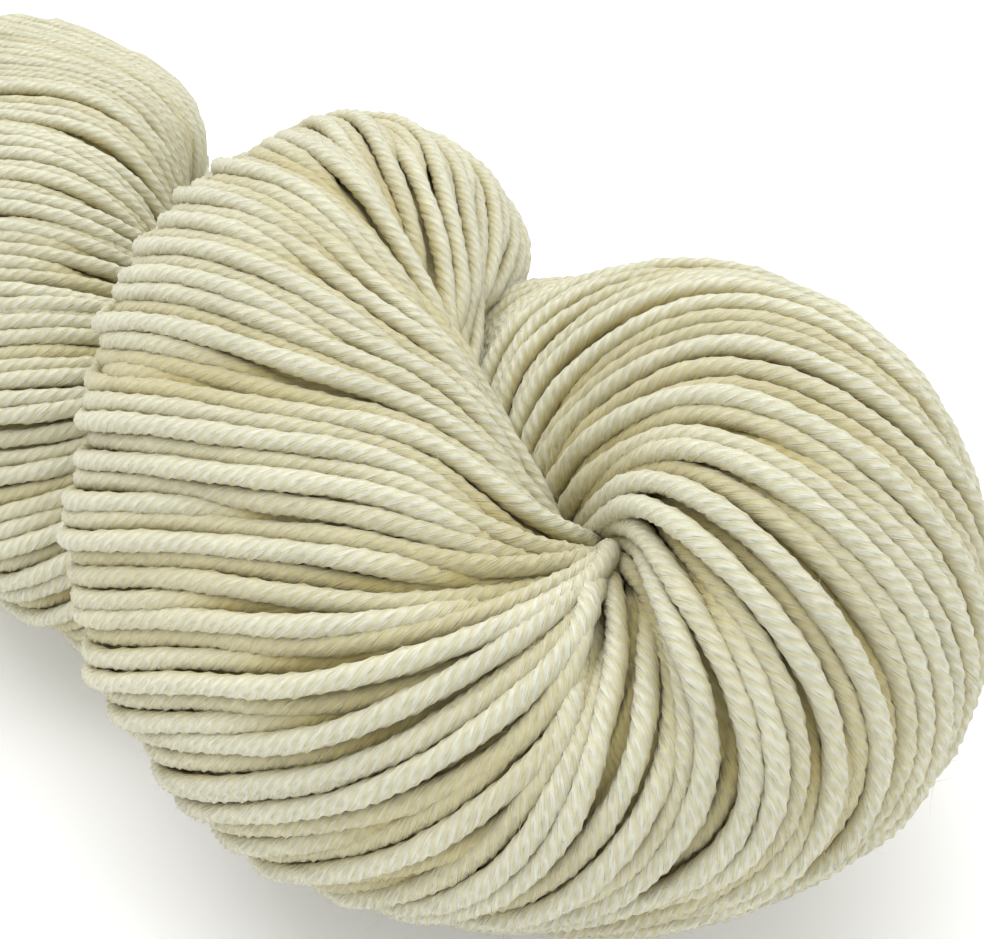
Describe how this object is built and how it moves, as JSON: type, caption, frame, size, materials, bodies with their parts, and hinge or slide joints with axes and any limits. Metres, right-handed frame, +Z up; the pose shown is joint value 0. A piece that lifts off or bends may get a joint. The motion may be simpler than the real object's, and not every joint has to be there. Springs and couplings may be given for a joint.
{
  "type": "twisted hank of merino wool yarn",
  "caption": "Undyed cream merino wool yarn wound into a twisted hank, two soft plied limbs with a rounded fold at one end and the other end tucked through its own loop.",
  "frame": {"origin": "middle of the footprint, on the surface the hank lies on", "axes": "+X runs along the hank towards the folded end, +Y runs across it, +Z points up"},
  "size_m": [0.2472, 0.0964, 0.0663],
  "materials": {
    "yarn": "soft matte plied wool yarn, undyed cream"
  },
  "bodies": {
    "root": {"hank": "yarn"}
  },
  "joints": []
}
